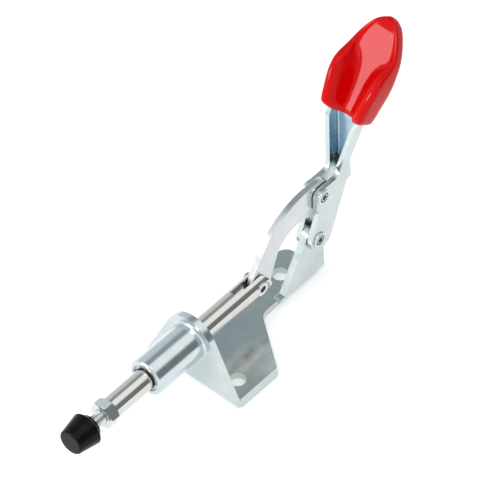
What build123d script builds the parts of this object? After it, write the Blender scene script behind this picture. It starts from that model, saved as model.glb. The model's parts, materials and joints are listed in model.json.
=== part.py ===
from build123d import *
import math
import os

# A small straight-line toggle clamp, in millimetres.
# +X is the way the plunger pushes, +Z is up from the mounting face.
# x = 0 is the front face of the flange, y = 0 the plane of the plunger, link and ear,
# z = 0 the underside of the base. It is modelled with the handle thrown back, and
# then placed so that the origin is midway between the front screw holes.

# Sheet stock
BASE_SHEET = 2.0
LINK_SHEET = 1.8
HANDLE_SHEET = 1.5
SIDE_GAP = 0.1
RUN = 0.05
BEND_INSIDE = 0.6

# Pivots of the linkage, as seen from the side
AXIS_Z = 16.1
CRANK_PIVOT_X = -48.0
CRANK_LENGTH = 15.1
CRANK_ANGLE = 97.2
LINK_LENGTH = 28.6
RIVET_R = 1.5
RIVET_HEAD_R = 2.25
RIVET_HEAD_T = 0.55

# Base plate, seen from above
BASE_HALF_WIDTH = 16.1
PLATE_LENGTH = 16.0
PLATE_FAR_LENGTH = 12.8
PLATE_CORNER_R = 1.2
TONGUE_HALF_WIDTH = 5.6
TONGUE_LENGTH = 49.8
TONGUE_CORNER_R = 3.0
NECK_X = -28.1
NECK_FILLET_R = 3.6
EAR_ROOT_X = -34.4
MOUNT_HOLE_R = 2.25
FRONT_HOLE_X = -7.0
FRONT_HOLE_Y = 10.1
REAR_HOLE_X = -41.6

# Flange and ear, the two parts of the bracket that are folded up
FLANGE_TOP_R = 7.8
EAR_END_R = 3.5
EAR_CORNER_R = 1.9
EAR_FRONT_SETBACK = 1.6

# Guide barrel
BARREL_R = 5.43
BARREL_LENGTH = 17.2
BARREL_CHAMFER = 0.45
ROOT_FILLET_R = 0.6
TAIL_R = 4.4
TAIL_LIP_R = 4.9
TAIL_LIP_T = 0.4
MOUTH_R = 4.1
MOUTH_DEPTH = 1.1

# Plunger
PLUNGER_R = 3.175
PLUNGER_FRONT_X = 31.0
PLUNGER_CHAMFER = 0.4
SLOT_GAP = 0.15
SLOT_LENGTH = 8.4
TAP_DEPTH = 15.0
PIN_R = 1.3
PIN_BORE_R = 1.0
PIN_HEAD_R = 2.05
PIN_HEAD_T = 0.5
PIN_SEAT_Y = 2.45
PIN_SEAT_GAP = 0.15

# Spindle, lock nut and rubber cap
SCREW_R = 2.0
SCREW_BACK_X = 21.0
SCREW_HEAD_R = 3.0
SCREW_HEAD_T = 1.2
NUT_ACROSS_FLATS = 7.0
NUT_T = 3.2
NUT_TURN = 12.0
CAP_BACK_X = 38.0
CAP_LENGTH = 8.0
CAP_NECK_R = 3.3
CAP_NECK_LENGTH = 1.0
CAP_BACK_R = 4.78
CAP_FRONT_R = 3.6
CAP_EDGE_R = 0.55
CAP_HEAD_DEPTH = 2.2

# Link, in its own frame: u runs from the crank rivet to the plunger pin, v is outward
LINK_CRANK_END_R = 4.2
LINK_PIN_END_R = 2.9
LINK_CREST = (12.6, 8.9)
LINK_CREST_R = 21.4
LINK_HEEL = (25.4, -4.9)
LINK_HOLLOW_R = 8.8
LINK_HOLLOW_U = 14.3
LINK_HOLLOW_V = 1.45

# Handle legs, seen from the side
LEG_END_R = 4.2
LEG_END_SHIFT = -1.0
LEG_BACK_LEAN = 22.7
LEG_FRONT_LEAN = 22.0
BOSS_R = 2.5
SHOULDER_FILLET_R = 2.2

# Handle channel: the back line of its web, seen from the side, measured from the crank pivot
FOOT_OFFSET = (-14.2, 13.9)
HEEL_OFFSET = (-13.8, 19.9)
KNEE_OFFSET = (-16.9, 33.9)
WEB_TIP_LEAN = 37.9
WEB_BEND_RUN = 1.6
CHANNEL_DEPTH = 5.0
CHANNEL_BEND_R = 1.9
CHANNEL_KNEE_HALF_WIDTH = 5.1
# Stations of the spoon: distance past the knee, half width, depth over the web's back
SPOON_STATIONS = [
    (1.6, 5.7, 4.3),
    (13.0, 6.3, 4.3),
    (15.0, 6.5, 2.8),
    (17.5, 6.2, 2.0),
    (22.4, 4.4, 1.9),
    (25.6, 2.4, 1.8),
]

# Dipped grip. Stations: distance past the knee, half width, height of the two ridges over
# the web's back, width of a ridge, thickness of the skin on the back
GRIP_STATIONS = [
    (-1.4, 6.4, 6.0, 3.4, 0.7),
    (-0.7, 6.9, 6.2, 3.8, 1.1),
    (1.6, 7.1, 5.6, 3.9, 1.1),
    (12.2, 7.5, 5.4, 3.8, 1.1),
    (14.9, 7.95, 5.3, 3.3, 1.1),
    (16.9, 7.8, 4.7, 2.6, 1.0),
    (18.8, 7.0, 3.2, 2.0, 0.9),
    (22.4, 5.4, 2.75, 1.8, 0.8),
    (25.6, 3.35, 2.6, 1.5, 0.8),
    (27.3, 1.5, 2.2, 0.8, 0.5),
]
GRIP_FLOOR = 0.7
GRIP_BACK_R = 2.2

# Values that follow from the ones above
GAP_HALF = BASE_SHEET / 2 + SIDE_GAP
LEG_OUT = GAP_HALF + HANDLE_SHEET
BEND_OUTSIDE = BEND_INSIDE + BASE_SHEET
TONGUE_Y = -TONGUE_HALF_WIDTH
SLOT_HALF = LINK_SHEET / 2 + SLOT_GAP
CRANK_PIVOT = (CRANK_PIVOT_X, AXIS_Z)
LINK_PIVOT = (
    CRANK_PIVOT_X + CRANK_LENGTH * math.cos(math.radians(CRANK_ANGLE)),
    AXIS_Z + CRANK_LENGTH * math.sin(math.radians(CRANK_ANGLE)),
)
LINK_DROP = math.asin((LINK_PIVOT[1] - AXIS_Z) / LINK_LENGTH)
PIN_X = LINK_PIVOT[0] + LINK_LENGTH * math.cos(LINK_DROP)
NUT_FRONT_X = PLUNGER_FRONT_X + NUT_T
WEB_FOOT = (CRANK_PIVOT[0] + FOOT_OFFSET[0], CRANK_PIVOT[1] + FOOT_OFFSET[1])
WEB_HEEL = (CRANK_PIVOT[0] + HEEL_OFFSET[0], CRANK_PIVOT[1] + HEEL_OFFSET[1])
WEB_KNEE = (CRANK_PIVOT[0] + KNEE_OFFSET[0], CRANK_PIVOT[1] + KNEE_OFFSET[1])


def slab_y(sketch, low, high):
    """A side-view sketch (X across, Z up) as a plate from y = low to y = high."""
    return extrude(Plane.XZ.offset(-high) * sketch, amount=high - low)


def slab_x(sketch, low, high):
    """A front-view sketch (Y across, Z up) as a plate from x = low to x = high."""
    return extrude(Plane.YZ.offset(low) * sketch, amount=high - low)


def disc(centre, radius):
    return Pos(centre[0], centre[1]) * Circle(radius)


def cross_bore(centre, radius):
    """A bore along Y through everything."""
    return slab_y(disc(centre, radius), -BASE_HALF_WIDTH, BASE_HALF_WIDTH)


def turned(points):
    """A piece turned about the plunger's axis, from (x, radius) points."""
    side = Plane(origin=(0, 0, AXIS_Z), x_dir=(1, 0, 0), z_dir=(0, -1, 0))
    face = make_face(Polyline(points, close=True))
    return revolve(side * face, axis=Axis((0, 0, AXIS_Z), (1, 0, 0)))


def rod(low, high, radius):
    return turned([(low, 0), (high, 0), (high, radius), (low, radius)])


def plate_plan():
    """Outline of the flat of the bracket: the wide plate, the neck and the tongue."""
    rear_edge = TONGUE_Y + TONGUE_HALF_WIDTH
    outer_edge = TONGUE_Y - TONGUE_HALF_WIDTH
    slope = (PLATE_LENGTH + NECK_X) / (BASE_HALF_WIDTH - rear_edge)
    far_neck_x = -PLATE_FAR_LENGTH + slope * (BASE_HALF_WIDTH + outer_edge)
    plan = make_face(Polyline([
        (0, BASE_HALF_WIDTH),
        (-PLATE_LENGTH, BASE_HALF_WIDTH),
        (NECK_X, rear_edge),
        (EAR_ROOT_X, rear_edge),
        (EAR_ROOT_X, BASE_SHEET / 2 - BEND_OUTSIDE),
        (-TONGUE_LENGTH, BASE_SHEET / 2 - BEND_OUTSIDE),
        (-TONGUE_LENGTH, outer_edge),
        (far_neck_x, outer_edge),
        (-PLATE_FAR_LENGTH, -BASE_HALF_WIDTH),
        (0, -BASE_HALF_WIDTH),
    ], close=True))
    corners = [v for v in plan.vertices() if abs(v.Y) > BASE_HALF_WIDTH - 0.01 and v.X < -0.01]
    plan = fillet(corners, PLATE_CORNER_R)
    neck = [v for v in plan.vertices() if abs(v.X - NECK_X) < 0.01 and abs(v.Y - rear_edge) < 0.01]
    plan = fillet(neck, NECK_FILLET_R)
    end = [v for v in plan.vertices() if abs(v.X + TONGUE_LENGTH) < 0.01 and v.Y < TONGUE_Y]
    return fillet(end, TONGUE_CORNER_R)


def flange_outline():
    """Front view of the flange: a round top that runs tangent into straight flared sides."""
    foot = Line((-BASE_HALF_WIDTH, 0), (BASE_HALF_WIDTH, 0))
    return make_hull([foot, disc((0, AXIS_Z), FLANGE_TOP_R).edge()])


def folded_front():
    """Plate and flange as one folded strip, cut to the outlines of both."""
    height = AXIS_Z + FLANGE_TOP_R + 1
    strip = make_face(Polyline([
        (0, 0), (0, height), (-BASE_SHEET, height), (-BASE_SHEET, BASE_SHEET),
        (-TONGUE_LENGTH, BASE_SHEET), (-TONGUE_LENGTH, 0),
    ], close=True))
    outer = [v for v in strip.vertices() if abs(v.X) < 0.01 and abs(v.Y) < 0.01]
    strip = fillet(outer, BEND_OUTSIDE)
    inner = [v for v in strip.vertices()
             if abs(v.X + BASE_SHEET) < 0.01 and abs(v.Y - BASE_SHEET) < 0.01]
    strip = fillet(inner, BEND_INSIDE)
    solid = slab_y(strip, -BASE_HALF_WIDTH, BASE_HALF_WIDTH)
    solid = solid & extrude(plate_plan(), amount=height)
    return solid & slab_x(flange_outline(), -TONGUE_LENGTH - 1, 1)


def ear_outline():
    """Side view of the ear, round about the crank pivot and raked at the front."""
    x0, z0 = CRANK_PIVOT
    foot_x = EAR_ROOT_X - EAR_FRONT_SETBACK
    reach = math.hypot(foot_x - x0, BEND_OUTSIDE - z0)
    lean = math.atan2(foot_x - x0, z0 - BEND_OUTSIDE) - math.asin(EAR_END_R / reach)
    touch = (x0 + EAR_END_R * math.cos(lean), z0 + EAR_END_R * math.sin(lean))
    raked = Polyline([
        (foot_x, BEND_OUTSIDE), touch, (x0, z0 + EAR_END_R), (x0 - EAR_END_R, z0),
        (x0 - EAR_END_R, 0), (EAR_ROOT_X, 0), (EAR_ROOT_X, BEND_OUTSIDE),
    ], close=True)
    return make_face(raked) + disc(CRANK_PIVOT, EAR_END_R)


def ear():
    """The ear and its bend, as one folded strip cut to the ear's side view."""
    top = AXIS_Z + EAR_END_R + 1
    half = BASE_SHEET / 2
    strip = make_face(Polyline([
        (half, 0), (half, top), (-half, top), (-half, BASE_SHEET),
        (half - BEND_OUTSIDE, BASE_SHEET), (half - BEND_OUTSIDE, 0),
    ], close=True))
    strip = fillet([v for v in strip.vertices() if v.X > 0 and abs(v.Y) < 0.01], BEND_OUTSIDE)
    inner = [v for v in strip.vertices() if abs(v.X + half) < 0.01 and v.Y < top / 2]
    strip = fillet(inner, BEND_INSIDE)
    outline = ear_outline()
    rear = CRANK_PIVOT_X - EAR_END_R
    outline = fillet([v for v in outline.vertices() if abs(v.X - rear) < 0.01 and abs(v.Y) < 0.01],
                     EAR_CORNER_R)
    return slab_x(strip, rear, EAR_ROOT_X) & slab_y(outline, -BEND_OUTSIDE, BEND_OUTSIDE)


def base_bracket():
    """One stamping: plate, flange, tongue and ear."""
    solid = folded_front() + ear()
    for x, y in ((FRONT_HOLE_X, FRONT_HOLE_Y), (FRONT_HOLE_X, -FRONT_HOLE_Y),
                 (REAR_HOLE_X, TONGUE_Y)):
        solid -= Pos(x, y, BASE_SHEET / 2) * Cylinder(MOUNT_HOLE_R, 2 * BASE_SHEET)
    solid -= rod(-BASE_SHEET - 1, 1, TAIL_R)
    return solid - cross_bore(CRANK_PIVOT, RIVET_R + RUN)


def guide_barrel():
    """A turned sleeve, staked through the flange, with a recessed mouth."""
    bore = PLUNGER_R + RUN
    back = -BASE_SHEET - TAIL_LIP_T
    root = [(ROOT_FILLET_R * (1 - math.sin(turn)), BARREL_R + ROOT_FILLET_R * (1 - math.cos(turn)))
            for turn in (math.radians(90 - 30 * step) for step in range(4))]
    return turned([
        (back, bore), (back, TAIL_LIP_R), (-BASE_SHEET, TAIL_LIP_R), (-BASE_SHEET, TAIL_R),
        (0, TAIL_R), *root,
        (BARREL_LENGTH - BARREL_CHAMFER, BARREL_R),
        (BARREL_LENGTH, BARREL_R - BARREL_CHAMFER), (BARREL_LENGTH, MOUTH_R),
        (BARREL_LENGTH - MOUTH_DEPTH, MOUTH_R - RUN), (BARREL_LENGTH - MOUTH_DEPTH, bore),
    ])


def plunger():
    """A ground rod, tapped in front, slotted and rounded over at the back for the link."""
    back = PIN_X - PLUNGER_R
    solid = turned([
        (back, 0), (back, PLUNGER_R), (PLUNGER_FRONT_X - PLUNGER_CHAMFER, PLUNGER_R),
        (PLUNGER_FRONT_X, PLUNGER_R - PLUNGER_CHAMFER), (PLUNGER_FRONT_X, 0),
    ])
    pin = (PIN_X, AXIS_Z)
    square = Pos(PIN_X - PLUNGER_R, AXIS_Z) * Rectangle(2 * PLUNGER_R, 2 * PLUNGER_R + 1)
    solid -= slab_y(square - disc(pin, PLUNGER_R), -PLUNGER_R - 1, PLUNGER_R + 1)
    slot = Pos((back - 1 + PIN_X + SLOT_LENGTH) / 2, 0, AXIS_Z) * Box(
        PIN_X + SLOT_LENGTH - back + 1, 2 * SLOT_HALF, 2 * PLUNGER_R + 1)
    solid -= slot
    for low, high in ((PIN_SEAT_Y, PLUNGER_R + 1), (-PLUNGER_R - 1, -PIN_SEAT_Y)):
        solid -= slab_y(disc(pin, PIN_HEAD_R + PIN_SEAT_GAP), low, high)
    solid -= cross_bore(pin, PIN_R)
    return solid - rod(PLUNGER_FRONT_X - TAP_DEPTH, PLUNGER_FRONT_X + 1, SCREW_R + RUN)


def plunger_pin():
    """The two rolled-over ends of a tubular rivet, one in each prong of the plunger."""
    pin = (PIN_X, AXIS_Z)
    end = PIN_SEAT_Y + PIN_HEAD_T
    ends = []
    for side in (1, -1):
        shank = slab_y(disc(pin, PIN_R), *sorted((side * SLOT_HALF, side * end)))
        head = slab_y(disc(pin, PIN_HEAD_R), *sorted((side * PIN_SEAT_Y, side * end)))
        ends.append(shank + head - cross_bore(pin, PIN_BORE_R))
    return Compound(children=ends)


def bridge(first, first_r, second, second_r):
    """The outer tangent of two discs, on the left of the way from the first to the second."""
    away = (second[0] - first[0], second[1] - first[1])
    turn = math.atan2(away[1], away[0]) + math.acos((first_r - second_r) / math.hypot(*away))
    return tuple((centre[0] + radius * math.cos(turn), centre[1] + radius * math.sin(turn))
                 for centre, radius in ((first, first_r), (second, second_r)))


def link_outline():
    """The bowed link in its own frame, crank rivet at the origin, plunger pin on +u."""
    bow = (LINK_CREST[0], LINK_CREST[1] - LINK_CREST_R)
    crown, shoulder = bridge((0, 0), LINK_CRANK_END_R, bow, LINK_CREST_R)
    knee, nose = bridge(bow, LINK_CREST_R, (LINK_LENGTH, 0), LINK_PIN_END_R)
    hollow_v = LINK_HOLLOW_V - LINK_HOLLOW_R
    foot_v = -LINK_CRANK_END_R
    foot_u = LINK_HOLLOW_U - math.sqrt(LINK_HOLLOW_R ** 2 - (foot_v - hollow_v) ** 2)
    away = math.hypot(LINK_HEEL[0] - LINK_HOLLOW_U, LINK_HEEL[1] - hollow_v)
    swing = math.atan2(LINK_HEEL[1] - hollow_v, LINK_HEEL[0] - LINK_HOLLOW_U)
    swing += math.acos(LINK_HOLLOW_R / away)
    waist = (LINK_HOLLOW_U + LINK_HOLLOW_R * math.cos(swing),
             hollow_v + LINK_HOLLOW_R * math.sin(swing))
    return make_face([
        ThreePointArc((0, foot_v), (-LINK_CRANK_END_R, 0), crown),
        Line(crown, shoulder),
        ThreePointArc(shoulder, LINK_CREST, knee),
        Line(knee, nose),
        ThreePointArc(nose, (LINK_LENGTH + LINK_PIN_END_R, 0), (LINK_LENGTH, -LINK_PIN_END_R)),
        Line((LINK_LENGTH, -LINK_PIN_END_R), LINK_HEEL),
        Line(LINK_HEEL, waist),
        ThreePointArc(waist, (LINK_HOLLOW_U, LINK_HOLLOW_V), (foot_u, foot_v)),
        Line((foot_u, foot_v), (0, foot_v)),
    ])


def link():
    outline = link_outline() - disc((0, 0), RIVET_R + RUN) - disc((LINK_LENGTH, 0), PIN_R + RUN)
    placed = Pos(*LINK_PIVOT) * Rot(0, 0, -math.degrees(LINK_DROP)) * outline
    return slab_y(placed, -LINK_SHEET / 2, LINK_SHEET / 2)


def leg_outline():
    """Side view of one leg, from its round foot past the link rivet into the channel."""
    x0 = CRANK_PIVOT_X + LEG_END_SHIFT
    back = math.radians(LEG_BACK_LEAN)
    front = math.radians(LEG_FRONT_LEAN)
    back_foot = (x0 - LEG_END_R * math.cos(back), AXIS_Z - LEG_END_R * math.sin(back))
    front_foot = (x0 + LEG_END_R * math.cos(front), AXIS_Z + LEG_END_R * math.sin(front))
    rise = WEB_FOOT[1] - back_foot[1]
    back_top = (back_foot[0] - rise * math.tan(back), WEB_FOOT[1])
    notch_z = LINK_PIVOT[1] - 2 * BOSS_R
    notch = (front_foot[0] - (notch_z - front_foot[1]) * math.tan(front), notch_z)
    boss_x = LINK_PIVOT[0] + BOSS_R
    shoulder_z = LINK_PIVOT[1] + BOSS_R
    stem_front = WEB_HEEL[0] + CHANNEL_DEPTH
    web_front = WEB_HEEL[0] + CHANNEL_BEND_R
    blank = make_face(Polyline([
        (x0, AXIS_Z), front_foot, notch, (boss_x, notch_z + BOSS_R / 2), (boss_x, shoulder_z),
        (stem_front, shoulder_z), (stem_front, WEB_HEEL[1]), (web_front, WEB_HEEL[1]),
        (WEB_FOOT[0] + CHANNEL_BEND_R, WEB_FOOT[1]), back_top, back_foot,
    ], close=True))
    blank = fillet([v for v in blank.vertices()
                    if abs(v.X - boss_x) < 0.01 and abs(v.Y - shoulder_z) < 0.01], BOSS_R)
    blank = fillet([v for v in blank.vertices()
                    if abs(v.X - stem_front) < 0.01 and abs(v.Y - shoulder_z) < 0.01],
                   SHOULDER_FILLET_R)
    return blank + disc((x0, AXIS_Z), LEG_END_R)


def spoon_point(distance):
    """A point on the back line of the spoon, this far past the knee."""
    lean = math.radians(WEB_TIP_LEAN)
    return (WEB_KNEE[0] - distance * math.sin(lean), WEB_KNEE[1] + distance * math.cos(lean))


def stem_lean():
    return math.degrees(math.atan2(WEB_HEEL[0] - WEB_KNEE[0], WEB_KNEE[1] - WEB_HEEL[1]))


def stem_point(distance):
    """A point on the back line of the stem, this far short of the knee."""
    lean = math.radians(stem_lean())
    return (WEB_KNEE[0] + distance * math.sin(lean), WEB_KNEE[1] - distance * math.cos(lean))


def section_plane(point, lean):
    """A plane across the handle: its y axis points out of the channel's open side."""
    tilt = math.radians(lean)
    return Plane(origin=(point[0], 0, point[1]), x_dir=(0, -1, 0),
                 z_dir=(-math.sin(tilt), 0, math.cos(tilt)))


def channel_section(half, depth):
    """A U of handle sheet, with its bends rounded outside and inside."""
    inner = half - HANDLE_SHEET
    face = make_face(Polyline([
        (-half, 0), (half, 0), (half, depth), (inner, depth), (inner, HANDLE_SHEET),
        (-inner, HANDLE_SHEET), (-inner, depth), (-half, depth),
    ], close=True))
    face = fillet([v for v in face.vertices() if abs(v.Y) < 0.01],
                  min(CHANNEL_BEND_R, 0.7 * depth))
    return fillet([v for v in face.vertices()
                   if abs(v.Y - HANDLE_SHEET) < 0.01 and abs(v.X) < inner + 0.01],
                  min(BEND_INSIDE, 0.5 * (depth - HANDLE_SHEET)))


def handle():
    """One stamping: two legs that straddle link and ear, closed behind into a spoon."""
    lean = stem_lean()
    stations = [
        (WEB_FOOT, 0, LEG_OUT, CHANNEL_DEPTH),
        (WEB_HEEL, 0, LEG_OUT, CHANNEL_DEPTH),
        (stem_point(WEB_BEND_RUN), lean, CHANNEL_KNEE_HALF_WIDTH, CHANNEL_DEPTH),
    ]
    stations += [(spoon_point(run), WEB_TIP_LEAN, half, depth)
                 for run, half, depth in SPOON_STATIONS]
    sections = [section_plane(point, tilt) * channel_section(half, depth)
                for point, tilt, half, depth in stations]
    solid = loft(sections, ruled=True)
    legs = leg_outline()
    for pivot in (CRANK_PIVOT, LINK_PIVOT):
        legs -= disc(pivot, RIVET_R + RUN)
    return solid + slab_y(legs, GAP_HALF, LEG_OUT) + slab_y(legs, -LEG_OUT, -GAP_HALF)


def grip_section(half, top, ridge, skin):
    """The skin's outline: a rounded back, two rolled ridges and the dished floor between."""
    floor = min(HANDLE_SHEET + GRIP_FLOOR, top - 0.3)
    crest = half - 0.7 * ridge
    foot = half - 1.1 * ridge
    right = [(half, -skin), (half, top), (crest, top), (foot, floor)]
    left = [(-x, y) for x, y in reversed(right)]
    face = make_face(Polyline(right + left, close=True))
    rise = top - floor
    rounds = {-skin: min(GRIP_BACK_R, 0.4 * (top + skin), 0.8 * half),
              floor: min(1.2, 0.4 * rise, 0.6 * foot)}
    for height, radius in rounds.items():
        face = fillet([v for v in face.vertices() if abs(v.Y - height) < 0.001], radius)
    outer = [v for v in face.vertices() if abs(v.Y - top) < 0.001 and abs(v.X) > half - 0.001]
    face = fillet(outer, min(0.42 * ridge, 0.4 * (top + skin)))
    inner = [v for v in face.vertices()
             if abs(v.Y - top) < 0.001 and abs(abs(v.X) - crest) < 0.001]
    return fillet(inner, min(0.25 * ridge, 0.3 * rise))


def grip():
    """A skin of soft vinyl over the spoon, its lower lip level across the spoon."""
    sections = []
    for run, half, top, ridge, skin in GRIP_STATIONS:
        point = spoon_point(run) if run > 0 else stem_point(-run)
        plane = section_plane(point, WEB_TIP_LEAN)
        sections.append(plane * grip_section(half, top, ridge, skin))
    return loft(sections, ruled=True)


def pivot_rivet(centre, low):
    """A solid rivet with flat round heads; with low > 0 it is two studs, one in each leg."""
    heads = LEG_OUT + RIVET_HEAD_T
    studs = []
    for side in (1, -1):
        ends = sorted((side * low, side * LEG_OUT))
        cap = sorted((side * LEG_OUT, side * heads))
        head = slab_y(disc(centre, RIVET_HEAD_R), *cap)
        rim = head.edges().filter_by(lambda e: abs(abs(e.center().Y) - heads) < 0.01)
        studs.append(slab_y(disc(centre, RIVET_R), *ends) + chamfer(rim, RIVET_HEAD_T * 0.35))
    return studs


def handle_pivot():
    """The rivet that carries the handle on the ear."""
    right, left = pivot_rivet(CRANK_PIVOT, 0)
    return right + left


def link_pivot():
    """The rivet heads and shanks at the link, in the handle's two legs."""
    return Compound(children=pivot_rivet(LINK_PIVOT, GAP_HALF))


def spindle():
    """The screw that carries the cap, with a flat head moulded into the rubber."""
    head_x = CAP_BACK_X + CAP_HEAD_DEPTH
    return turned([
        (SCREW_BACK_X, 0), (SCREW_BACK_X, SCREW_R - 0.4), (SCREW_BACK_X + 0.4, SCREW_R),
        (head_x, SCREW_R), (head_x, SCREW_HEAD_R), (head_x + SCREW_HEAD_T, SCREW_HEAD_R),
        (head_x + SCREW_HEAD_T, 0),
    ])


def lock_nut():
    """A hexagon nut, chamfered on both faces."""
    corner = NUT_ACROSS_FLATS / math.sqrt(3)
    plane = Plane.YZ.offset(PLUNGER_FRONT_X) * Pos(0, AXIS_Z) * Rot(0, 0, NUT_TURN)
    solid = extrude(plane * RegularPolygon(corner, 6), amount=NUT_T)
    flat = NUT_ACROSS_FLATS / 2
    drop = (corner - flat) * math.tan(math.radians(30))
    solid &= turned([
        (PLUNGER_FRONT_X, 0), (PLUNGER_FRONT_X, flat), (PLUNGER_FRONT_X + drop, corner),
        (NUT_FRONT_X - drop, corner), (NUT_FRONT_X, flat), (NUT_FRONT_X, 0),
    ])
    return solid - rod(PLUNGER_FRONT_X - 1, NUT_FRONT_X + 1, SCREW_R + RUN)


def rubber_cap(screw):
    """A tapered bumper on the spindle's head, with a short neck behind."""
    shoulder = CAP_BACK_X + CAP_NECK_LENGTH
    front = CAP_BACK_X + CAP_LENGTH
    body = turned([
        (CAP_BACK_X, 0), (CAP_BACK_X, CAP_NECK_R), (shoulder, CAP_NECK_R),
        (shoulder, CAP_BACK_R - CAP_EDGE_R), (shoulder + CAP_EDGE_R, CAP_BACK_R),
        (front, CAP_FRONT_R), (front, 0),
    ])
    rim = body.edges().filter_by(GeomType.CIRCLE).sort_by(Axis.X)[-1]
    return fillet(rim, CAP_EDGE_R) - screw


def main():
    os.makedirs("parts", exist_ok=True)
    handle_solid = handle()
    screw = spindle()
    pieces = {
        "base_bracket": base_bracket(),
        "guide_barrel": guide_barrel(),
        "plunger": plunger(),
        "plunger_pin": plunger_pin(),
        "link": link(),
        "handle": handle_solid,
        "grip": grip() - handle_solid,
        "handle_pivot": handle_pivot(),
        "link_pivot": link_pivot(),
        "spindle": screw,
        "lock_nut": lock_nut(),
        "rubber_cap": rubber_cap(screw),
    }
    placing = Pos(-FRONT_HOLE_X, 0, 0)
    for name, shape in pieces.items():
        export_step(placing * shape, "parts/" + name + ".step")


main()
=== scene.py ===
import json
import math

import bpy
from mathutils import Matrix, Vector


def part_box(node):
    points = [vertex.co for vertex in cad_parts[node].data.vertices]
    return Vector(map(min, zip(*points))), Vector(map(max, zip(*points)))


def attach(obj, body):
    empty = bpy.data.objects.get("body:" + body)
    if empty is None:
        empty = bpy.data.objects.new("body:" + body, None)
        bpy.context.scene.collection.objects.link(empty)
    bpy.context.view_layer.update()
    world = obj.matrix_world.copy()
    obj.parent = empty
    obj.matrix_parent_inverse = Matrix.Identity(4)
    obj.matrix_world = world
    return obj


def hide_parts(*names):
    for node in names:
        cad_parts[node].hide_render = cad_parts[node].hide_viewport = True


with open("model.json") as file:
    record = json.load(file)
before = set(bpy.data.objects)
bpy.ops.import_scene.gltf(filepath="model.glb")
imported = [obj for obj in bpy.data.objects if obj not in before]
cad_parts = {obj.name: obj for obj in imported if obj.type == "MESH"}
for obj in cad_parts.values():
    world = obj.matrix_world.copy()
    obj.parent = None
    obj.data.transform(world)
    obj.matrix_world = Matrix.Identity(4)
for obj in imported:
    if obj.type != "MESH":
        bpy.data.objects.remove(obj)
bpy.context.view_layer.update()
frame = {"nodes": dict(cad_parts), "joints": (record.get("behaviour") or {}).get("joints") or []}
nodes = frame["nodes"]
MM = 0.001

# Sizes and places below are in millimetres and angles in degrees, unless a comment says otherwise.

# Rivets: their axes, the outside of the handle's legs, the shank and the heads
joints = {joint["name"]: joint for joint in frame["joints"]}
HANDLE_AXIS = Vector(joints["handle_swing"]["pos_m"]) / MM
LINK_AXIS = Vector(joints["link_swing"]["pos_m"]) / MM
LEG_OUT = 2.6
SHANK_R = 1.5
HEAD_R = 2.25
HEAD_T = 0.55

# Handle: the knee of its back line, the line's lean below and above the knee, and the sheet
KNEE = Vector((-57.9, 0, 50.0))
STEM_LEAN = 12.4
TIP_LEAN = 37.9
SHEET = 1.5

# Painted shade and painted blue reflection inside the handle's channel, as darker, bluer plating:
# its lowest and foremost places, its half width there and how that grows with height, and how
# squarely a face must look inwards or forwards
CHANNEL_FOOT = 34.5
CHANNEL_FRONT = -51.5
CHANNEL_HALF = 1.1
CHANNEL_FLARE = 0.2
FACING = 0.6

# Grip stations: run past the knee, half width, height of the ridges, width of a ridge,
# half width of the floor between the ridges, skin on the back
GRIP_STATIONS = [
    (-1.4, 5.7, 5.5, 3.2, 1.7, 0.1),
    (-0.9, 6.5, 6.3, 3.5, 1.5, 0.75),
    (0.2, 7.0, 6.8, 3.8, 1.4, 1.1),
    (4.0, 7.55, 7.4, 3.9, 1.5, 1.1),
    (8.0, 8.1, 7.7, 3.9, 1.8, 1.1),
    (11.4, 8.25, 7.3, 3.6, 2.5, 1.1),
    (13.6, 8.1, 6.2, 3.2, 3.6, 1.1),
    (15.2, 7.9, 4.75, 2.5, 4.8, 1.1),
    (16.8, 7.6, 3.6, 1.7, 5.7, 1.0),
    (18.8, 7.05, 3.05, 1.4, 5.6, 0.9),
    (21.6, 5.95, 2.8, 1.3, 4.6, 0.8),
    (24.6, 4.2, 2.65, 1.2, 3.0, 0.8),
    (27.3, 1.9, 2.3, 0.8, 0.9, 0.5),
]
GRIP_ROWS = 120
GRIP_CROWDING = 0.09
GRIP_LAST_SHARE = 0.9995
GRIP_FLOOR = 0.9
RIDGE_LEAST = 0.3
TIP_ROUND = 1.9
TIP_WIDTH_LEFT = 0.25
TIP_DEPTH_LEFT = 0.35

# Section of the grip: its corners as shares of the half width, the ridge or the floor, and how
# far from a corner its rounding starts
BACK_FLAT = 0.5
RIDGE_LIMIT = 0.8
RIDGE_CREST = 0.7
FLOOR_LIMIT = 0.75
FLOOR_MIDDLE = 0.15
BACK_ROUND = 3.0
FOOT_ROUND = 2.2
CORNER_STEPS = 9
MOST_CUT = 0.49

# Staked rivet head: rows of radius and height, as a share of the head's, from the rim inwards;
# the rows of the sunk star, each with how far its points reach; and the rows of the groove and
# star painted dark as shade
HEAD_STEPS = 72
HEAD_PROFILE = [
    (HEAD_R, 0.0), (HEAD_R, 0.5), (HEAD_R - 0.05, 0.75), (HEAD_R - 0.16, 0.92),
    (HEAD_R - 0.32, 1.0), (1.55, 1.0), (1.48, 0.9), (1.44, 0.3), (1.24, 0.3),
    (1.18, 0.88), (1.05, 0.96),
]
STAR_POINTS = 5
STAR_ROWS = [(0.84, 0.90, 0.10), (0.68, 0.50, 0.15), (0.48, 0.30, 0.14), (0.28, 0.25, 0.06)]
STAR_FLOOR = 0.22
SHADE_PAINTED_ROWS = (6, 7, 8, 11, 12, 13, 14)
SHANK_STEPS = 32

# Spindle: its thread, with the rows in one turn, the steepness of a flank and the width of the
# root; the share of the radius left at its end and the length of that taper; and its head
THREAD_R = 2.0
THREAD_PITCH = 0.7
THREAD_DEPTH = 0.42
THREAD_ROWS = 12
THREAD_SLOPE = 2.6
THREAD_ROOT = 0.22
THREAD_TAPER = 0.8
THREAD_TAPER_LENGTH = 0.4
SPINDLE_STEPS = 48
SPINDLE_HEAD_T = 1.2

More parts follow.
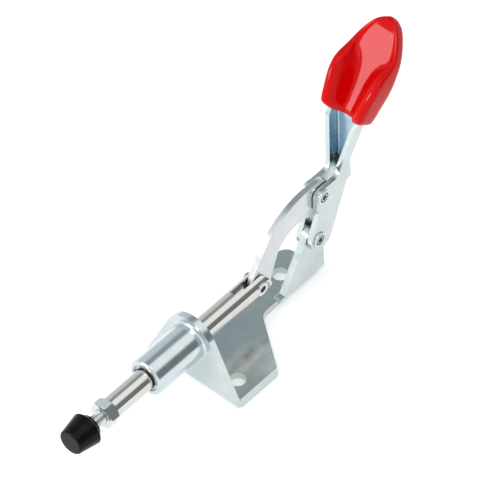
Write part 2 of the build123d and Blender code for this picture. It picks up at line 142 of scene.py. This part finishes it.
# Nodes taken from the frame: broken edges, sharp edges, and in metres the distance of a weld
BEVEL_STEPS = 3
BEVEL_ANGLE = 40
SHARP_ANGLE = 38
WELD_REACH = 1e-6

# Camera, as fitted to the photograph: azimuth from +X towards +Y, elevation and roll, the distance
# in metres, the picture's scale, and the aim measured from the foot of the flange's front
CAMERA_AZIMUTH = 42.66
CAMERA_ELEVATION = 48.33
CAMERA_ROLL = -1.67
CAMERA_DISTANCE = 2.5
PIXELS_PER_MM = 3.87
FRAME_PIXELS = 480
AIM_ACROSS = 12.75
AIM_UP = 36.57
AIM_TOWARDS = 9.9
FLANGE_X = 7.0
SENSOR_WIDTH = 36

# Studio round the clamp: colour by angle about X, from +Y up towards +Z, then the colour ahead
# and the part of X from which it is in full
STUDIO_BANDS = [
    (-20, (0.92, 0.94, 0.95)),
    (-10, (0.19, 0.22, 0.235)),
    (40, (0.19, 0.22, 0.235)),
    (53, (1.05, 1.05, 1.04)),
    (92, (1.05, 1.05, 1.04)),
    (104, (0.28, 0.33, 0.35)),
    (124, (0.33, 0.38, 0.39)),
    (136, (0.64, 0.70, 0.73)),
    (180, (0.70, 0.75, 0.79)),
]
STUDIO_FRONT = (0.82, 0.84, 0.85)
STUDIO_STRENGTH = 1.1
AHEAD_FULL = 0.35

# Floor: its glow on the clamp and to the eye, and in metres half its size and its drop
FLOOR_GLOW = 0.25
FLOOR_GLOW_SEEN = 0.30
FLOOR_REACH = 6.0
FLOOR_DROP = 0.0002

# Soft boxes, in metres and watts: name, place, size, power
LAMPS = [
    ("front_left_box", (0.62, -0.34, 0.30), (0.30, 0.20), 2.1),
    ("top_box", (0.35, 0.10, 0.80), (0.4, 0.4), 1.0),
]
LAMP_TARGET = Vector((-0.01, 0, 0.03))


def new_object(name, vertices, faces, smooth=True):
    """A mesh object from points in millimetres."""
    mesh = bpy.data.meshes.new(name)
    mesh.from_pydata([Vector(v) * MM for v in vertices], [], faces)
    mesh.update()
    for polygon in mesh.polygons:
        polygon.use_smooth = smooth
    made = bpy.data.objects.new(name, mesh)
    bpy.context.scene.collection.objects.link(made)
    return made


def add_grid(vertices, faces, rows):
    """Adds rows of points joined by quads, each row a ring. Returns each row's first index."""
    starts = []
    for row in rows:
        starts.append(len(vertices))
        vertices.extend(row)
    count = len(rows[0])
    for first, second in zip(starts, starts[1:]):
        for i in range(count):
            j = (i + 1) % count
            faces.append((first + i, first + j, second + j, second + i))
    return starts


def add_fan(vertices, faces, start, count, centre, flip=False):
    """Closes a ring with a fan of triangles to a centre point, turned over with flip."""
    middle = len(vertices)
    vertices.append(centre)
    for i in range(count):
        j = (i + 1) % count
        face = (start + j, start + i, middle) if flip else (start + i, start + j, middle)
        faces.append(face)


def hermite(table, value):
    """Smooth values between the rows of a table, looked up in its first column."""
    last = len(table) - 1
    k = max(0, min(last - 1, sum(1 for row in table[1:-1] if row[0] <= value)))
    low, high = table[k], table[k + 1]
    before, after = table[max(k - 1, 0)], table[min(k + 2, last)]
    width = high[0] - low[0]
    t = min(1.0, max(0.0, (value - low[0]) / width))
    result = []
    for c in range(1, len(low)):
        slope_low = (high[c] - before[c]) / (high[0] - before[0]) * width
        slope_high = (after[c] - low[c]) / (after[0] - low[0]) * width
        result.append(
            low[c] * (2 * t ** 3 - 3 * t ** 2 + 1) + slope_low * (t ** 3 - 2 * t ** 2 + t)
            + high[c] * (3 * t ** 2 - 2 * t ** 3) + slope_high * (t ** 3 - t ** 2))
    return result


def soften(corners, cuts):
    """A closed outline with its corners rounded, each over its cut to both sides."""
    outline = []
    count = len(corners)
    for i, corner in enumerate(corners):
        before, after = corners[i - 1], corners[(i + 1) % count]
        ends = []
        for other in (before, after):
            reach = math.dist(corner, other)
            share = min(cuts[i] / reach, MOST_CUT) if reach > 0 else 0
            ends.append(tuple(a + (b - a) * share for a, b in zip(corner, other)))
        for step in range(CORNER_STEPS):
            t = step / (CORNER_STEPS - 1)
            outline.append(tuple(
                p * (1 - t) ** 2 + q * 2 * t * (1 - t) + r * t ** 2
                for p, q, r in zip(ends[0], corner, ends[1])))
    return outline


# Materials

def material(name):
    """An empty node material and its shader."""
    made = bpy.data.materials.new(name)
    made.use_nodes = True
    return made, made.node_tree.nodes["Principled BSDF"]


def noise(made, scale, detail=3.0, rough=0.5, stretch=(1, 1, 1)):
    """Noise in object space; scale is features per metre."""
    tree = made.node_tree
    coordinates = tree.nodes.new("ShaderNodeTexCoord")
    mapping = tree.nodes.new("ShaderNodeMapping")
    mapping.inputs["Scale"].default_value = stretch
    texture = tree.nodes.new("ShaderNodeTexNoise")
    texture.inputs["Scale"].default_value = scale
    texture.inputs["Detail"].default_value = detail
    texture.inputs["Roughness"].default_value = rough
    tree.links.new(coordinates.outputs["Object"], mapping.inputs["Vector"])
    tree.links.new(mapping.outputs["Vector"], texture.inputs["Vector"])
    return texture.outputs["Fac"]


def ramp(made, source, stops):
    """A colour ramp over a value."""
    node = made.node_tree.nodes.new("ShaderNodeValToRGB")
    elements = node.color_ramp.elements
    while len(elements) < len(stops):
        elements.new(0.5)
    for element, (place, colour) in zip(elements, stops):
        element.position = place
        element.color = (*colour, 1)
    made.node_tree.links.new(source, node.inputs["Fac"])
    return node.outputs["Color"]


def remap(made, source, low, high):
    """The middle of a noise, 0.3 to 0.7, spread over low to high."""
    node = made.node_tree.nodes.new("ShaderNodeMapRange")
    node.inputs["From Min"].default_value = 0.3
    node.inputs["From Max"].default_value = 0.7
    node.inputs["To Min"].default_value = low
    node.inputs["To Max"].default_value = high
    made.node_tree.links.new(source, node.inputs["Value"])
    return node.outputs["Result"]


def bump(made, source, height, strength, below=None):
    """A bump of a given height in metres, laid over another."""
    node = made.node_tree.nodes.new("ShaderNodeBump")
    node.inputs["Distance"].default_value = height
    node.inputs["Strength"].default_value = strength
    made.node_tree.links.new(source, node.inputs["Height"])
    if below is not None:
        made.node_tree.links.new(below, node.inputs["Normal"])
    return node.outputs["Normal"]


def plated_steel(name, cool, warm, rough, stretch=(1, 1, 1)):
    """Bright zinc plating: faint clouds of blue and warm grey over a smooth, even sheen."""
    made, shader = material(name)
    link = made.node_tree.links.new
    clouds = noise(made, 110, 5, 0.62, stretch)
    link(ramp(made, clouds, [(0.32, cool), (0.68, warm)]), shader.inputs["Base Color"])
    grain = noise(made, 600, 4, 0.65, stretch)
    link(remap(made, grain, rough - 0.03, rough + 0.05), shader.inputs["Roughness"])
    ripple = bump(made, noise(made, 70, 2, 0.5, stretch), 0.0001, 0.05)
    link(bump(made, grain, 0.000006, 0.16, ripple), shader.inputs["Normal"])
    shader.inputs["Metallic"].default_value = 1.0
    return made


def ground_steel(name):
    """Polished rod with fine grinding marks round it."""
    made, shader = material(name)
    link = made.node_tree.links.new
    marks = noise(made, 700, 4, 0.7, (6, 0.25, 0.25))
    link(ramp(made, marks, [(0.3, (0.65, 0.63, 0.59)), (0.7, (0.70, 0.68, 0.64))]),
         shader.inputs["Base Color"])
    link(remap(made, marks, 0.06, 0.12), shader.inputs["Roughness"])
    link(bump(made, marks, 0.000004, 0.15), shader.inputs["Normal"])
    shader.inputs["Metallic"].default_value = 1.0
    return made


def dipped_vinyl(name):
    """Glossy soft red vinyl with the slight waves of a dipped coat."""
    made, shader = material(name)
    link = made.node_tree.links.new
    clouds = noise(made, 90, 2)
    link(ramp(made, clouds, [(0.3, (0.54, 0.0006, 0.001)), (0.7, (0.60, 0.001, 0.0015))]),
         shader.inputs["Base Color"])
    link(remap(made, noise(made, 500, 3), 0.07, 0.12), shader.inputs["Roughness"])
    link(bump(made, noise(made, 130, 1), 0.0003, 0.08), shader.inputs["Normal"])
    shader.inputs["Specular IOR Level"].default_value = 0.15
    return made


def moulded_rubber(name):
    """Black rubber, satin, with a fine moulded grain and a little bloom."""
    made, shader = material(name)
    link = made.node_tree.links.new
    bloom = noise(made, 260, 4)
    link(ramp(made, bloom, [(0.35, (0.002, 0.002, 0.0023)), (0.75, (0.006, 0.006, 0.007))]),
         shader.inputs["Base Color"])
    link(remap(made, noise(made, 2200, 3), 0.16, 0.26), shader.inputs["Roughness"])
    link(bump(made, noise(made, 3500, 2), 0.00001, 0.2), shader.inputs["Normal"])
    shader.inputs["Specular IOR Level"].default_value = 0.13
    return made


ZINC_SHEET = plated_steel("zinc_sheet", (0.53, 0.61, 0.63), (0.66, 0.69, 0.68), 0.19)
# Darker, bluer plating for the inside of the handle's channel: painted shade and painted
# reflection
ZINC_CHANNEL_SHADE = plated_steel("zinc_channel_shade", (0.34, 0.47, 0.56), (0.44, 0.55, 0.61), 0.24)
ZINC_LINK = plated_steel("zinc_link", (0.60, 0.64, 0.65), (0.68, 0.70, 0.70), 0.21)
ZINC_TURNED = plated_steel("zinc_turned", (0.60, 0.66, 0.68), (0.67, 0.70, 0.72), 0.16,
                           stretch=(3, 0.6, 0.6))
ZINC_SMALL = plated_steel("zinc_small", (0.62, 0.65, 0.66), (0.72, 0.73, 0.72), 0.18)
# Dark plating painted on as shade in the grooves and stars of the rivet heads
ZINC_SHADOW = plated_steel("zinc_shadow", (0.07, 0.075, 0.08), (0.13, 0.13, 0.13), 0.45)
STEEL_GROUND = ground_steel("steel_ground")
VINYL_RED = dipped_vinyl("vinyl_red")
RUBBER_BLACK = moulded_rubber("rubber_black")

# Finish of each node and the width of its broken edges
NODE_FINISH = {
    "base_bracket": (ZINC_SHEET, 0.22),
    "guide_barrel": (ZINC_TURNED, 0.10),
    "plunger": (STEEL_GROUND, 0.10),
    "plunger_pin": (ZINC_SMALL, 0),
    "link": (ZINC_LINK, 0.20),
    "handle": (ZINC_SHEET, 0.20),
    "handle_pivot": (ZINC_SMALL, 0),
    "link_pivot": (ZINC_SMALL, 0),
    "spindle": (ZINC_SMALL, 0),
    "lock_nut": (ZINC_SMALL, 0.12),
    "rubber_cap": (RUBBER_BLACK, 0),
    "grip": (VINYL_RED, 0),
}


def edge_shading():
    """A node group that shades faces smooth and keeps edges over a set angle sharp."""
    group = bpy.data.node_groups.new("edge_shading", "GeometryNodeTree")
    group.interface.new_socket("Geometry", in_out="INPUT", socket_type="NodeSocketGeometry")
    group.interface.new_socket("Geometry", in_out="OUTPUT", socket_type="NodeSocketGeometry")
    start = group.nodes.new("NodeGroupInput")
    end = group.nodes.new("NodeGroupOutput")
    faces = group.nodes.new("GeometryNodeSetShadeSmooth")
    edges = group.nodes.new("GeometryNodeSetShadeSmooth")
    edges.domain = "EDGE"
    edges.inputs["Shade Smooth"].default_value = False
    angle = group.nodes.new("GeometryNodeInputMeshEdgeAngle")
    compare = group.nodes.new("FunctionNodeCompare")
    compare.operation = "GREATER_THAN"
    compare.inputs[1].default_value = math.radians(SHARP_ANGLE)
    group.links.new(start.outputs[0], faces.inputs["Geometry"])
    group.links.new(faces.outputs[0], edges.inputs["Geometry"])
    group.links.new(angle.outputs["Unsigned Angle"], compare.inputs[0])
    group.links.new(compare.outputs["Result"], edges.inputs["Selection"])
    group.links.new(edges.outputs[0], end.inputs[0])
    return group


EDGE_SHADING = edge_shading()


def dress(piece, finish, edge):
    """Gives a CAD node its finish, broken edges of a width in millimetres, and clean shading."""
    piece.data.materials.clear()
    piece.data.materials.append(finish)
    weld = piece.modifiers.new("weld", "WELD")
    weld.merge_threshold = WELD_REACH
    if edge:
        bevel = piece.modifiers.new("broken_edges", "BEVEL")
        bevel.width = edge * MM
        bevel.segments = BEVEL_STEPS
        bevel.limit_method = "ANGLE"
        bevel.angle_limit = math.radians(BEVEL_ANGLE)
        bevel.use_clamp_overlap = True
    shading = piece.modifiers.new("edge_shading", "NODES")
    shading.node_group = EDGE_SHADING
    weights = piece.modifiers.new("weights", "WEIGHTED_NORMAL")
    weights.keep_sharp = True


for node_name, (finish, edge) in NODE_FINISH.items():
    dress(nodes[node_name], finish, edge)


def paint_channel_shade(piece):
    """Inside the handle's channel the plating is painted darker and bluer: painted shade and
    painted reflection.
    """
    piece.data.materials.append(ZINC_CHANNEL_SHADE)
    for polygon in piece.data.polygons:
        middle, normal = polygon.center / MM, polygon.normal
        inside = CHANNEL_HALF + CHANNEL_FLARE * (middle.z - CHANNEL_FOOT)
        wall = normal.y * middle.y < 0 and abs(normal.y) > FACING
        web = normal.x > FACING and abs(middle.y) < inside and middle.x < CHANNEL_FRONT
        # Faces inside the channel take the darker, bluer plating, which is painted shade and
        # painted reflection
        if middle.z > CHANNEL_FOOT and (wall or web):
            polygon.material_index = 1


paint_channel_shade(nodes["handle"])


# Grip

def grip_place(run):
    """Point on the back line of the steel; short of the knee it lies on the stem."""
    lean = math.radians(TIP_LEAN if run > 0 else STEM_LEAN)
    return KNEE + Vector((-math.sin(lean), 0, math.cos(lean))) * run


def grip_ring(run):
    """One ring of the grip: back, rolled ridges and dished floor."""
    half, top, ridge, foot, skin = hermite(GRIP_STATIONS, run)
    tip = min(1.0, max(0.0, (GRIP_STATIONS[-1][0] - run) / TIP_ROUND))
    closing = math.sqrt(1 - (1 - tip) ** 2)
    side = half * (TIP_WIDTH_LEFT + (1 - TIP_WIDTH_LEFT) * closing)
    depth = TIP_DEPTH_LEFT + (1 - TIP_DEPTH_LEFT) * closing
    floor = min(SHEET + GRIP_FLOOR, top - RIDGE_LEAST)
    roll = min(ridge, side * RIDGE_LIMIT)
    corners = [
        (side * BACK_FLAT, -skin), (side, -skin), (side, top),
        (side - roll * RIDGE_CREST, top), (min(foot, side * FLOOR_LIMIT), floor),
        (foot * FLOOR_MIDDLE, floor),
    ]
    cuts = [
        side * 0.2,  # middle of the back
        min(BACK_ROUND, side * BACK_FLAT),  # between back and side
        roll * 0.5, roll * 0.45,  # outside and crest of the ridge
        min(FOOT_ROUND, 0.5 + 0.6 * (top - floor)),  # foot of the ridge
        side * 0.03,  # middle of the floor
    ]
    middle = (top - skin) / 2
    corners = [(x, middle + (y - middle) * depth) for x, y in corners]
    mirror = [(-x, y) for x, y in reversed(corners)]
    outline = soften(corners + mirror, cuts + cuts[::-1])
    point = grip_place(run)
    lean = math.radians(TIP_LEAN)
    out = Vector((math.cos(lean), 0, math.sin(lean)))
    return [point + Vector((0, y, 0)) + out * n for y, n in outline]


def make_grip():
    """The dipped grip: rings from its mouth to its tip, closer together at both ends."""
    first, last = GRIP_STATIONS[0][0], GRIP_STATIONS[-1][0]
    rows = []
    for k in range(GRIP_ROWS):
        share = k / (GRIP_ROWS - 1)
        eased = share - GRIP_CROWDING * math.sin(math.tau * share) / math.pi
        rows.append(grip_ring(first + (last - first) * min(eased, GRIP_LAST_SHARE)))
    vertices, faces = [], []
    starts = add_grid(vertices, faces, rows)
    count = len(rows[0])
    faces.append(tuple(range(starts[0], starts[0] + count))[::-1])
    faces.append(tuple(range(starts[-1], starts[-1] + count)))
    grip = new_object("grip_skin", vertices, faces)
    grip.data.materials.append(VINYL_RED)
    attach(grip, "handle")
    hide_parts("grip")


# Rivets with star-staked heads

def rivet_head(vertices, faces, centre, side, turn):
    """One staked head, its centre sunk in as a small star. Returns the faces of its groove and
    star, which are painted dark as shade.
    """
    rings = []
    for radius, height, wave in [(*row, 0) for row in HEAD_PROFILE] + STAR_ROWS:
        ring = []
        for i in range(HEAD_STEPS):
            angle = math.tau * i / HEAD_STEPS
            reach = radius + wave * math.cos(STAR_POINTS * angle)
            ring.append(centre + Vector((
                reach * math.cos(angle + turn),
                side * (LEG_OUT + height * HEAD_T),
                reach * math.sin(angle + turn))))
        rings.append(ring)
    first = len(faces)
    starts = add_grid(vertices, faces, rings)
    middle = centre + Vector((0, side * (LEG_OUT + STAR_FLOOR * HEAD_T), 0))
    add_fan(vertices, faces, starts[-1], HEAD_STEPS, middle)
    return [first + row * HEAD_STEPS + i for row in SHADE_PAINTED_ROWS for i in range(HEAD_STEPS)]


def make_rivet(name, axis, node, turn):
    """A rivet through both legs of the handle, its staked heads turned by an angle in radians."""
    vertices, faces, shade_painted_faces = [], [], []
    for side in (1, -1):
        shade_painted_faces += rivet_head(vertices, faces, axis, side, turn)
    ends = []
    for y in (-LEG_OUT, LEG_OUT):
        ends.append([axis + Vector((SHANK_R * math.cos(a), y, SHANK_R * math.sin(a)))
                     for a in (math.tau * i / SHANK_STEPS for i in range(SHANK_STEPS))])
    add_grid(vertices, faces, ends)
    rivet = new_object(name, vertices, faces)
    rivet.data.materials.append(ZINC_SMALL)
    rivet.data.materials.append(ZINC_SHADOW)
    # The groove and star faces take the dark plating, which is painted shade
    for index in shade_painted_faces:
        rivet.data.polygons[index].material_index = 1
    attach(rivet, "handle")
    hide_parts(node)


# Spindle with its thread

def make_spindle():
    """The threaded spindle, with its plain head inside the cap."""
    low, high = (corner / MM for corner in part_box("spindle"))
    head_r = (high.z - low.z) / 2
    head_back = high.x - SPINDLE_HEAD_T
    axis_z = (low.z + high.z) / 2

    def ring(x, radii):
        points = []
        for i, radius in enumerate(radii):
            angle = math.tau * i / SPINDLE_STEPS
            points.append(Vector((x, radius * math.cos(angle), axis_z + radius * math.sin(angle))))
        return points

    rows = []
    count = int((head_back - low.x) / THREAD_PITCH * THREAD_ROWS)
    for k in range(count + 1):
        run = (head_back - low.x) * k / count
        taper = min(1.0, THREAD_TAPER + (1 - THREAD_TAPER) * run / THREAD_TAPER_LENGTH)
        radii = []
        for i in range(SPINDLE_STEPS):
            phase = (run / THREAD_PITCH - i / SPINDLE_STEPS) % 1.0
            crest = min(1.0, max(0.0, THREAD_SLOPE * abs(phase - 0.5) - THREAD_ROOT))
            radii.append((THREAD_R - THREAD_DEPTH * (1 - crest)) * taper)
        rows.append(ring(low.x + run, radii))
    for x in (head_back, high.x):
        rows.append(ring(x, [head_r] * SPINDLE_STEPS))
    vertices, faces = [], []
    starts = add_grid(vertices, faces, rows)
    add_fan(vertices, faces, starts[0], SPINDLE_STEPS, Vector((low.x, 0, axis_z)), True)
    add_fan(vertices, faces, starts[-1], SPINDLE_STEPS, Vector((high.x, 0, axis_z)))
    spindle = new_object("spindle_thread", vertices, faces)
    spindle.data.materials.append(ZINC_SMALL)
    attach(spindle, "spindle")
    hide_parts("spindle")


make_grip()
make_rivet("handle_rivet", HANDLE_AXIS, "handle_pivot", turn=0.3)
make_rivet("link_rivet", LINK_AXIS, "link_pivot", turn=0.9)
make_spindle()


# Floor, light and camera

def make_floor():
    """White paper that glows a little, and more to the eye, so that it stays white."""
    made, shader = material("floor_paper")
    tree = made.node_tree
    link = tree.links.new
    paper = ramp(made, noise(made, 3, 2), [(0.3, (0.93, 0.93, 0.93)), (0.7, (0.95, 0.95, 0.95))])
    link(paper, shader.inputs["Base Color"])
    link(paper, shader.inputs["Emission Color"])
    ray = tree.nodes.new("ShaderNodeLightPath")
    glow = tree.nodes.new("ShaderNodeMapRange")
    glow.inputs["To Min"].default_value = FLOOR_GLOW
    glow.inputs["To Max"].default_value = FLOOR_GLOW_SEEN
    link(ray.outputs["Is Camera Ray"], glow.inputs["Value"])
    link(glow.outputs["Result"], shader.inputs["Emission Strength"])
    shader.inputs["Roughness"].default_value = 0.9
    shader.inputs["Specular IOR Level"].default_value = 0.1
    size = FLOOR_REACH / MM
    corners = [(-size, -size, 0), (size, -size, 0), (size, size, 0), (-size, size, 0)]
    floor = new_object("floor", corners, [(0, 1, 2, 3)], smooth=False)
    floor.location.z = -FLOOR_DROP
    floor.data.materials.append(made)


def area_light(name, place, size, power):
    """A soft box that faces the clamp."""
    data = bpy.data.lights.new(name, "AREA")
    data.shape = "RECTANGLE"
    data.size, data.size_y = size
    data.energy = power
    lamp = bpy.data.objects.new(name, data)
    lamp.location = place
    lamp.rotation_mode = "QUATERNION"
    lamp.rotation_quaternion = (Vector(place) - LAMP_TARGET).to_track_quat("Z", "Y")
    bpy.context.scene.collection.objects.link(lamp)


def make_world():
    """White to the camera; to the clamp, bands of grey by angle about X, and an even front."""
    world = bpy.data.worlds.new("studio")
    world.use_nodes = True
    tree = world.node_tree
    link = tree.links.new
    coordinates = tree.nodes.new("ShaderNodeTexCoord")
    split = tree.nodes.new("ShaderNodeSeparateXYZ")
    link(coordinates.outputs["Generated"], split.inputs["Vector"])
    turn = tree.nodes.new("ShaderNodeMath")
    turn.operation = "ARCTAN2"
    link(split.outputs["Z"], turn.inputs[0])
    link(split.outputs["Y"], turn.inputs[1])
    low, high = STUDIO_BANDS[0][0], STUDIO_BANDS[-1][0]
    spread = tree.nodes.new("ShaderNodeMapRange")
    spread.inputs["From Min"].default_value = math.radians(low)
    spread.inputs["From Max"].default_value = math.radians(high)
    link(turn.outputs[0], spread.inputs["Value"])
    stops = [((angle - low) / (high - low), colour) for angle, colour in STUDIO_BANDS]
    bands = ramp(world, spread.outputs["Result"], stops)
    ahead = tree.nodes.new("ShaderNodeMapRange")
    ahead.inputs["From Max"].default_value = AHEAD_FULL
    link(split.outputs["X"], ahead.inputs["Value"])
    blend = tree.nodes.new("ShaderNodeMix")
    blend.data_type = "RGBA"
    link(ahead.outputs["Result"], blend.inputs["Factor"])
    first, second, mixed = blend.inputs[6], blend.inputs[7], blend.outputs[2]
    link(bands, first)
    second.default_value = (*STUDIO_FRONT, 1)
    studio = tree.nodes.new("ShaderNodeBackground")
    studio.inputs["Strength"].default_value = STUDIO_STRENGTH
    link(mixed, studio.inputs["Color"])
    background = tree.nodes["Background"]
    background.inputs["Color"].default_value = (1, 1, 1, 1)
    background.inputs["Strength"].default_value = 1.0
    ray = tree.nodes.new("ShaderNodeLightPath")
    mix = tree.nodes.new("ShaderNodeMixShader")
    link(ray.outputs["Is Camera Ray"], mix.inputs["Fac"])
    link(studio.outputs["Background"], mix.inputs[1])
    link(background.outputs["Background"], mix.inputs[2])
    link(mix.outputs["Shader"], tree.nodes["World Output"].inputs["Surface"])
    bpy.context.scene.world = world


def make_camera():
    """The camera as fitted to the photograph."""
    azimuth, elevation, roll = (
        math.radians(v) for v in (CAMERA_AZIMUTH, CAMERA_ELEVATION, CAMERA_ROLL))
    back = Vector((math.cos(elevation) * math.cos(azimuth),
                   math.cos(elevation) * math.sin(azimuth), math.sin(elevation)))
    level = (-back).cross(Vector((0, 0, 1))).normalized()
    upright = level.cross(-back)
    right = level * math.cos(roll) + upright * math.sin(roll)
    up = upright * math.cos(roll) - level * math.sin(roll)
    aim = right * AIM_ACROSS + up * AIM_UP + back * AIM_TOWARDS
    target = (aim + Vector((FLANGE_X, 0, 0))) * MM
    data = bpy.data.cameras.new("camera")
    data.sensor_width = SENSOR_WIDTH
    data.lens = data.sensor_width * CAMERA_DISTANCE / (FRAME_PIXELS / PIXELS_PER_MM * MM)
    data.clip_start = 0.05
    data.clip_end = 50
    camera = bpy.data.objects.new("camera", data)
    camera.matrix_world = Matrix((
        (right.x, up.x, back.x, target.x + back.x * CAMERA_DISTANCE),
        (right.y, up.y, back.y, target.y + back.y * CAMERA_DISTANCE),
        (right.z, up.z, back.z, target.z + back.z * CAMERA_DISTANCE),
        (0, 0, 0, 1)))
    bpy.context.scene.collection.objects.link(camera)
    bpy.context.scene.camera = camera


make_floor()
for lamp in LAMPS:
    area_light(*lamp)
make_world()
make_camera()
bpy.context.scene.view_settings.view_transform = "Standard"
